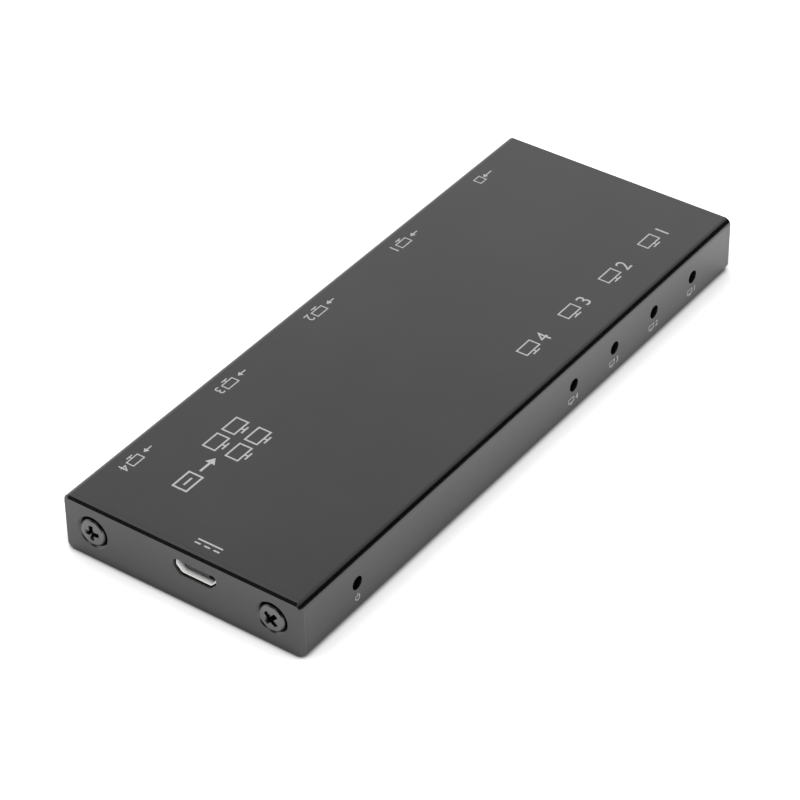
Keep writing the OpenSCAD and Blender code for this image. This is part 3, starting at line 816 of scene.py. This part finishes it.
@dataclass
class PowerSocket:
    """The small power socket: a steel shell with a rounded lip."""

    mouth: float = -0.0596
    lip: float = 0.00007

    def build(self) -> None:
        """Rounds the edges of the mouth."""
        bm = own_node("power_socket_shell")
        soften(bm, lambda e: all(abs(v.co.x - self.mouth) < 1e-6 for v in e.verts), self.lip, 3)
        seat(as_piece("power_socket_steel", bm, POWER_STEEL), HOUSING, "socket_steel", "power_socket_shell")


class Stencil:
    """Flat shapes in millimetres, printed as one thin layer of ink."""

    def __init__(self) -> None:
        """Starts with nothing drawn."""
        self.loops: list[list[tuple[float, float]]] = []

    def bar(self, a: tuple[float, float], b: tuple[float, float], width: float) -> "Stencil":
        """A straight stroke between two points."""
        along = Vector(b) - Vector(a)
        across = Vector((-along.y, along.x)).normalized() * width / 2
        ends = [Vector(a) - across, Vector(b) - across, Vector(b) + across, Vector(a) + across]
        self.loops.append([(p.x, p.y) for p in ends])
        return self

    def ring(
        self, at: tuple[float, float], radius: float, width: float, start: float = 0.0, stop: float = 360.0,
    ) -> "Stencil":
        """A ring, or a part of one.

        Args:
            at: Its centre.
            radius: The radius of the stroke's middle.
            width: The stroke's width.
            start: The angle that it starts at, in degrees.
            stop: The angle that it ends at.

        Returns:
            The stencil.
        """
        steps = 40
        turns = [math.radians(start + (stop - start) * i / steps) for i in range(steps + 1)]
        for a, b in zip(turns, turns[1:]):
            near, far = radius - width / 2, radius + width / 2
            corners = ((near, a), (far, a), (far, b), (near, b))
            self.loops.append([(at[0] + r * math.cos(t), at[1] + r * math.sin(t)) for r, t in corners])
        return self

    def frame(self, at: tuple[float, float], size: tuple[float, float], width: float) -> "Stencil":
        """A rectangle's outline round a centre."""
        x, y, w, h = *at, size[0] / 2, size[1] / 2
        self.bar((x - w - width / 2, y + h), (x + w + width / 2, y + h), width)
        self.bar((x - w - width / 2, y - h), (x + w + width / 2, y - h), width)
        self.bar((x - w, y - h + width / 2), (x - w, y + h - width / 2), width)
        return self.bar((x + w, y - h + width / 2), (x + w, y + h - width / 2), width)

    def screen(self, at: tuple[float, float], size: tuple[float, float], width: float) -> "Stencil":
        """A small picture of a screen on its foot."""
        x, y = at
        self.frame(at, size, width)
        low = y - size[1] / 2 - width / 2
        self.bar((x, low), (x, low - 1.4 * width), width)
        return self.bar((x - size[0] / 4, low - 1.9 * width), (x + size[0] / 4, low - 1.9 * width), width)

    def arrow(self, tail: tuple[float, float], tip: tuple[float, float], width: float) -> "Stencil":
        """A straight arrow with a solid head."""
        along = (Vector(tip) - Vector(tail)).normalized()
        across = Vector((-along.y, along.x))
        neck = Vector(tip) - along * width * 3.4
        self.bar(tail, tuple(neck), width)
        head = [neck - across * width * 2.2, Vector(tip), neck + across * width * 2.2]
        self.loops.append([(p.x, p.y) for p in head])
        return self

    def numeral(self, text: str, at: tuple[float, float], height: float) -> "Stencil":
        """A plain numeral round a centre.

        Args:
            text: The digits.
            at: The centre.
            height: The digits' height.

        Returns:
            The stencil.
        """
        curve = bpy.data.curves.new("numeral", "FONT")
        curve.body = text
        host = bpy.data.objects.new("numeral", curve)
        bpy.context.scene.collection.objects.link(host)
        flat = settled(host, "numeral_flat")
        points = [v.co for v in flat.data.vertices]
        low = Vector((min(p.x for p in points), min(p.y for p in points)))
        high = Vector((max(p.x for p in points), max(p.y for p in points)))
        scale = height / (high.y - low.y)
        middle = (low + high) / 2
        for face in flat.data.polygons:
            spots = [points[i] for i in face.vertices]
            self.loops.append([
                (at[0] + (p.x - middle.x) * scale, at[1] + (p.y - middle.y) * scale) for p in spots
            ])
        bpy.data.objects.remove(flat)
        return self

    def printed(self, bm: bmesh.types.BMesh, origin: Triple, right: Triple, up: Triple, thick: float) -> None:
        """Prints the shapes on a plane.

        Args:
            bm: The mesh that they are added to.
            origin: The plane's origin, in millimetres.
            right: The way that reads to the right.
            up: The way that reads upwards.
            thick: The ink's thickness, in millimetres.
        """
        x, y = Vector(right), Vector(up)
        out = x.cross(y)
        for loop in self.loops:
            rings = [
                [bm.verts.new((Vector(origin) + x * u + y * v + out * lift) * MM) for u, v in loop]
                for lift in (0.002, thick)
            ]
            low, high = rings
            area = sum(a[0] * b[1] - b[0] * a[1] for a, b in zip(loop, loop[1:] + loop[:1]))
            if area < 0:
                low.reverse()
                high.reverse()
            bm.faces.new(high)
            bm.faces.new(low[::-1])
            for i in range(len(low)):
                k = (i + 1) % len(low)
                bm.faces.new((low[i], low[k], high[k], high[i]))


@dataclass
class PrintedMarks:
    """Plain numerals and pictograms where such a box has its printing."""

    ports: tuple[float, ...] = (-46.8, -23.4, 0.0, 23.4)
    input_port: float = 46.8
    port_y: float = 18.75
    lamps: tuple[float, ...] = (11.7, 23.7, 35.7, 47.7)
    power_lamp: float = -46.6
    top: float = 10.2
    side: float = -22.5
    thick: float = 0.014

    def build(self) -> None:
        """Prints the marks on the top and on the lamp side."""
        bm = bmesh.new()
        self.port_marks(bm)
        self.power_mark(bm)
        self.flow_mark(bm)
        self.edge_row(bm)
        self.lamp_marks(bm)
        mesh = bpy.data.meshes.new("printed_marks")
        bm.to_mesh(mesh)
        bm.free()
        mesh.materials.append(material_of(INK))
        marks = bpy.data.objects.new("printed_marks", mesh)
        bpy.context.scene.collection.objects.link(marks)
        seat(marks, HOUSING)

    def port_marks(self, bm: bmesh.types.BMesh) -> None:
        """An arrow, a screen and a number for each output, and an arrow and a box for the input."""
        for number, x in zip("4321", self.ports):
            mark = Stencil().arrow((-3.5, 0.0), (-1.6, 0.0), 0.24).screen((0.6, 0.2), (2.6, 1.4), 0.22)
            mark.numeral(number, (3.0, 0.0), 1.8)
            mark.printed(bm, (x, self.port_y, self.top), (-1, 0, 0), (0, -1, 0), self.thick)
        mark = Stencil().arrow((-2.1, 0.0), (0.3, 0.0), 0.24).frame((1.3, 0.0), (1.6, 1.5), 0.22)
        mark.printed(bm, (self.input_port, self.port_y, self.top), (-1, 0, 0), (0, -1, 0), self.thick)

    def power_mark(self, bm: bmesh.types.BMesh) -> None:
        """A supply sign, a full line over a broken one, read from the power end."""
        mark = Stencil().bar((-2.3, 0.42), (2.3, 0.42), 0.3)
        for x in (-1.75, 0.0, 1.75):
            mark.bar((x - 0.55, -0.42), (x + 0.55, -0.42), 0.3)
        mark.printed(bm, (-56.85, -3.1, self.top), (0, -1, 0), (1, 0, 0), self.thick)

    def flow_mark(self, bm: bmesh.types.BMesh) -> None:
        """A source box, an arrow and four screens: what the box does."""
        mark = Stencil().frame((-7.4, 0.0), (4.0, 2.6), 0.34).bar((-8.4, 0.0), (-6.4, 0.0), 0.34)
        mark.arrow((-4.4, 0.0), (-0.6, 0.0), 0.42)
        for x in (2.6, 7.4):
            for y in (-1.95, 2.45):
                mark.screen((x, y), (3.6, 2.3), 0.3)
        mark.printed(bm, (-39.5, 8.8, self.top), (1, 0, 0), (0, 1, 0), self.thick)

    def edge_row(self, bm: bmesh.types.BMesh) -> None:
        """A row of numbered screens beside the output lamps, read from the lamp side."""
        for number, x in zip("4321", self.lamps):
            mark = Stencil().screen((-1.4, 0.3), (3.6, 2.0), 0.26).numeral(number, (2.3, 0.0), 2.6)
            mark.printed(bm, (x, -14.9, self.top), (1, 0, 0), (0, 1, 0), self.thick)

    def lamp_marks(self, bm: bmesh.types.BMesh) -> None:
        """A small numeral under each output's lamp hole, and a power sign under the first."""
        for number, x in zip("4321", self.lamps):
            mark = Stencil().screen((-0.7, 0.1), (1.5, 0.8), 0.13).numeral(number, (0.9, 0.0), 1.1)
            mark.printed(bm, (x, self.side, 2.6), (1, 0, 0), (0, 0, 1), self.thick)
        mark = Stencil().ring((0.0, 0.0), 0.5, 0.15, 125.0, 415.0).bar((0.0, 0.15), (0.0, 0.75), 0.15)
        mark.printed(bm, (self.power_lamp, self.side, 2.55), (1, 0, 0), (0, 0, 1), self.thick)


@dataclass
class Inside:
    """The solids that are right as they are: each gets its finish."""

    def build(self) -> None:
        """Dresses every solid that is still shown."""
        for name, node in sorted(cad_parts.items()):
            if node.hide_render:
                continue
            material = material_of(self.finish_of(name))
            if not node.material_slots:
                node.data.materials.append(material)
            for held in node.material_slots:
                held.material = material
            LOG.info("%s: dressed with %s", name, material.name)

    def finish_of(self, name: str) -> Finish:
        """The finish of one solid.

        Args:
            name: The node.

        Returns:
            Its finish.
        """
        endings = {
            "clinch_nuts": NUT_ZINC, "insulating_film": FILM, "board_standoffs": NUT_ZINC, "board_screws": NUT_ZINC,
            "main_board": BOARD, "power_socket_insulator": POWER_PLASTIC, "socket_insulator": SOCKET_PLASTIC,
            "contacts": GOLD, "lamp": LAMP_LENS, "chip": EPOXY, "thermal_pad": PAD_RUBBER, "heat_sink": SINK_METAL,
            "clock_crystal": CRYSTAL_CAN, "voltage_regulators": EPOXY, "power_inductors": FERRITE,
            "power_fuse": FUSE_BODY, "surge_guards": EPOXY, "capacitors": TAN_CERAMIC, "resistors": DARK_CERAMIC,
        }
        return next(finish for ending, finish in endings.items() if name.endswith(ending))


@dataclass(frozen=True)
class Softbox:
    """A flat studio lamp that faces the object."""

    name: str
    place: Triple
    size: tuple[float, float]
    level: float

    def build(self) -> None:
        """Hangs the lamp; its power gives its face the level, where 1 is white."""
        lamp = bpy.data.lights.new(self.name, "AREA")
        lamp.shape = "RECTANGLE"
        lamp.size, lamp.size_y = self.size
        lamp.energy = 4.0 * self.size[0] * self.size[1] * self.level
        held = bpy.data.objects.new(self.name, lamp)
        held.location = self.place
        held.rotation_euler = (-Vector(self.place)).to_track_quat("-Z", "Y").to_euler()
        held.visible_glossy = False
        bpy.context.scene.collection.objects.link(held)


@dataclass(frozen=True)
class Flag:
    """A dark card in the surroundings, which only mirrored rays see."""

    aim: Triple
    outer: float
    inner: float

    def clear(self, sheet: Sheet, way: Sock) -> Sock:
        """How much of the surroundings shows past the card.

        Args:
            sheet: The world's nodes.
            way: The direction that is looked in.

        Returns:
            One outside the card, near zero inside it.
        """
        aimed = tuple(Vector(self.aim).normalized())
        near = sheet.node("ShaderNodeVectorMath", {"operation": "DOT_PRODUCT"}, {0: way, 1: aimed}, "Value")
        edge, core = (math.cos(math.radians(a)) for a in (self.outer, self.inner))
        return sheet.span(near, edge, core, 1.0, 0.005)


@dataclass
class Studio:
    """The camera, a white floor, soft lamps and dark flags that draw the edges."""

    eye: Triple = (-0.3281554, -0.2353113, 0.3113429)
    right: Triple = (0.58126642, -0.81364487, -0.01055365)
    up: Triple = (0.50185148, 0.34825215, 0.7917484)
    focal_px: float = 3172.96
    image_px: float = 800.0
    fill: float = 0.3
    glow: float = 0.9
    near_glow: float = 0.5
    far_glow: float = 0.9
    glow_span: tuple[float, float] = (-0.085, 0.06)
    contact: float = 0.009
    mirrored_contact: float = 0.0117
    crevice: float = 0.0013
    mirrored_crevice: float = 0.00312
    crevice_open: tuple[float, float] = (0.25, 0.85)
    paper: tuple[Triple, Triple] = ((0.84, 0.84, 0.84), (0.88, 0.88, 0.88))
    gloom: Triple = (0.02, 0.02, 0.02)
    dimming: tuple[float, float, float, float] = (0.48, 0.74, 1.12, 0.5)
    flags: tuple[Flag, ...] = (
        Flag((0.64, -0.62, 0.455), 31.0, 24.0),
        Flag((-0.61, 0.47, 0.635), 28.0, 11.0),
        Flag((-0.72, -0.52, 0.45), 36.0, 24.0),
    )

    def build(self) -> None:
        """Sets the camera, then the floor, the lamps and the surroundings."""
        self.camera()
        self.floor()
        self.surroundings()
        Softbox("front_lamp", (-0.75, -0.55, 0.95), (0.9, 0.9), 3.6).build()
        Softbox("overhead_lamp", (0.1, 0.5, 1.1), (0.9, 0.9), 0.7).build()
        bpy.context.scene.view_settings.view_transform = "Standard"

    def camera(self) -> None:
        """A camera with the photograph's place and angle."""
        lens = bpy.data.cameras.new("camera")
        lens.sensor_width = 36.0
        lens.lens = self.focal_px * lens.sensor_width / self.image_px
        lens.clip_start, lens.clip_end = 0.01, 50.0
        held = bpy.data.objects.new("camera", lens)
        right, up = Vector(self.right), Vector(self.up)
        turn = Matrix((right, up, right.cross(up))).transposed().to_4x4()
        held.matrix_world = Matrix.Translation(self.eye) @ turn
        bpy.context.scene.collection.objects.link(held)
        bpy.context.scene.camera = held

    def floor(self) -> None:
        """A white floor, plain white in the open, whose shadow near the object is partly cast by the lamps and
        partly painted shadow from occlusion in its colour and glow.
        """
        bm = bmesh.new()
        bmesh.ops.create_grid(bm, x_segments=1, y_segments=1, size=6.0)
        mesh = bpy.data.meshes.new("floor")
        bm.to_mesh(mesh)
        bm.free()
        held = bpy.data.objects.new("floor", mesh)
        held.location = (0.0, 0.0, -0.00005)
        bpy.context.scene.collection.objects.link(held)
        shader = Shader("floor_white")
        free, deep, wide, under = (
            shader.node("ShaderNodeAmbientOcclusion", {"samples": 12}, {"Distance": reach}, "AO")
            for reach in (self.contact, self.crevice, self.mirrored_contact, self.mirrored_crevice)
        )
        glossy = shader.node("ShaderNodeLightPath", output="Is Glossy Ray")
        crevice = deep * (1.0 - glossy) + under * glossy
        paper = shader.noise(0.004, 3.0)
        unshaded = shader.blend(paper, *self.paper)
        # painted shadow: the floor's colour darkens towards the gloom colour in the crevice under the object
        tone = shader.blend(shader.span(crevice, *self.crevice_open), self.gloom, unshaded)
        matt = {"Base Color": tone, "Roughness": 0.9, "Specular IOR Level": 0.1}
        lit = shader.node("ShaderNodeBsdfPrincipled", {}, matt)
        # painted reflection: for mirrored rays the glow is brighter towards +X; painted shadow from occlusion dims
        # the glow near the object
        along = shader.node("ShaderNodeSeparateXYZ", {}, {0: shader.place()}, "X")
        level = shader.span(along, *self.glow_span, self.near_glow, self.far_glow)
        shade = free * free * (1.0 - glossy) + wide * wide * level * glossy
        white = shader.blend(self.seen(shader) * shade, (0.0, 0.0, 0.0), (1.0, 1.0, 1.0))
        glow = shader.node("ShaderNodeEmission", {}, {"Color": white, "Strength": self.glow})
        shader.end(shader.node("ShaderNodeAddShader", {}, {0: lit, 1: glow}))
        mesh.materials.append(shader.material)

    def seen(self, sheet: Sheet) -> Sock:
        """One for a ray from the camera, or one that is mirrored or let through."""
        names = ("Is Camera Ray", "Is Glossy Ray", "Is Transmission Ray")
        camera, glossy, through = (sheet.node("ShaderNodeLightPath", output=n) for n in names)
        return camera.most(glossy).most(through)

    def surroundings(self) -> None:
        """White surroundings, which mirrored rays see dimmer overhead and behind the flags."""
        world = bpy.data.worlds.new("surroundings")
        world.use_nodes = True
        bpy.context.scene.world = world
        world.node_tree.nodes.clear()
        sheet = Sheet(world.node_tree)
        way = sheet.node("ShaderNodeTexCoord", output="Generated")
        height = sheet.node("ShaderNodeSeparateXYZ", {}, {0: way}, "Z")
        mirrored = sheet.span(height, *self.dimming)
        for flag in self.flags:
            mirrored = mirrored * flag.clear(sheet, way)
        glossy = sheet.node("ShaderNodeLightPath", output="Is Glossy Ray")
        camera = sheet.node("ShaderNodeLightPath", output="Is Camera Ray")
        strength = camera + glossy * mirrored + (1.0 - camera.most(glossy)) * self.fill
        sky = sheet.node("ShaderNodeBackground", {}, {"Color": (1.0, 1.0, 1.0, 1.0), "Strength": strength})
        out = world.node_tree.nodes.new("ShaderNodeOutputWorld")
        world.node_tree.links.new(sky.socket, out.inputs["Surface"])


def main() -> None:
    """Builds the studio and each sub-assembly in order."""
    logging.basicConfig(level=logging.INFO, format="%(message)s")
    Studio().build()
    for part in (Case(), EndScrews(), VideoSockets(), PowerSocket(), PrintedMarks(), Inside()):
        LOG.info("%s", type(part).__name__)
        part.build()


if __name__ == "__main__":
    main()
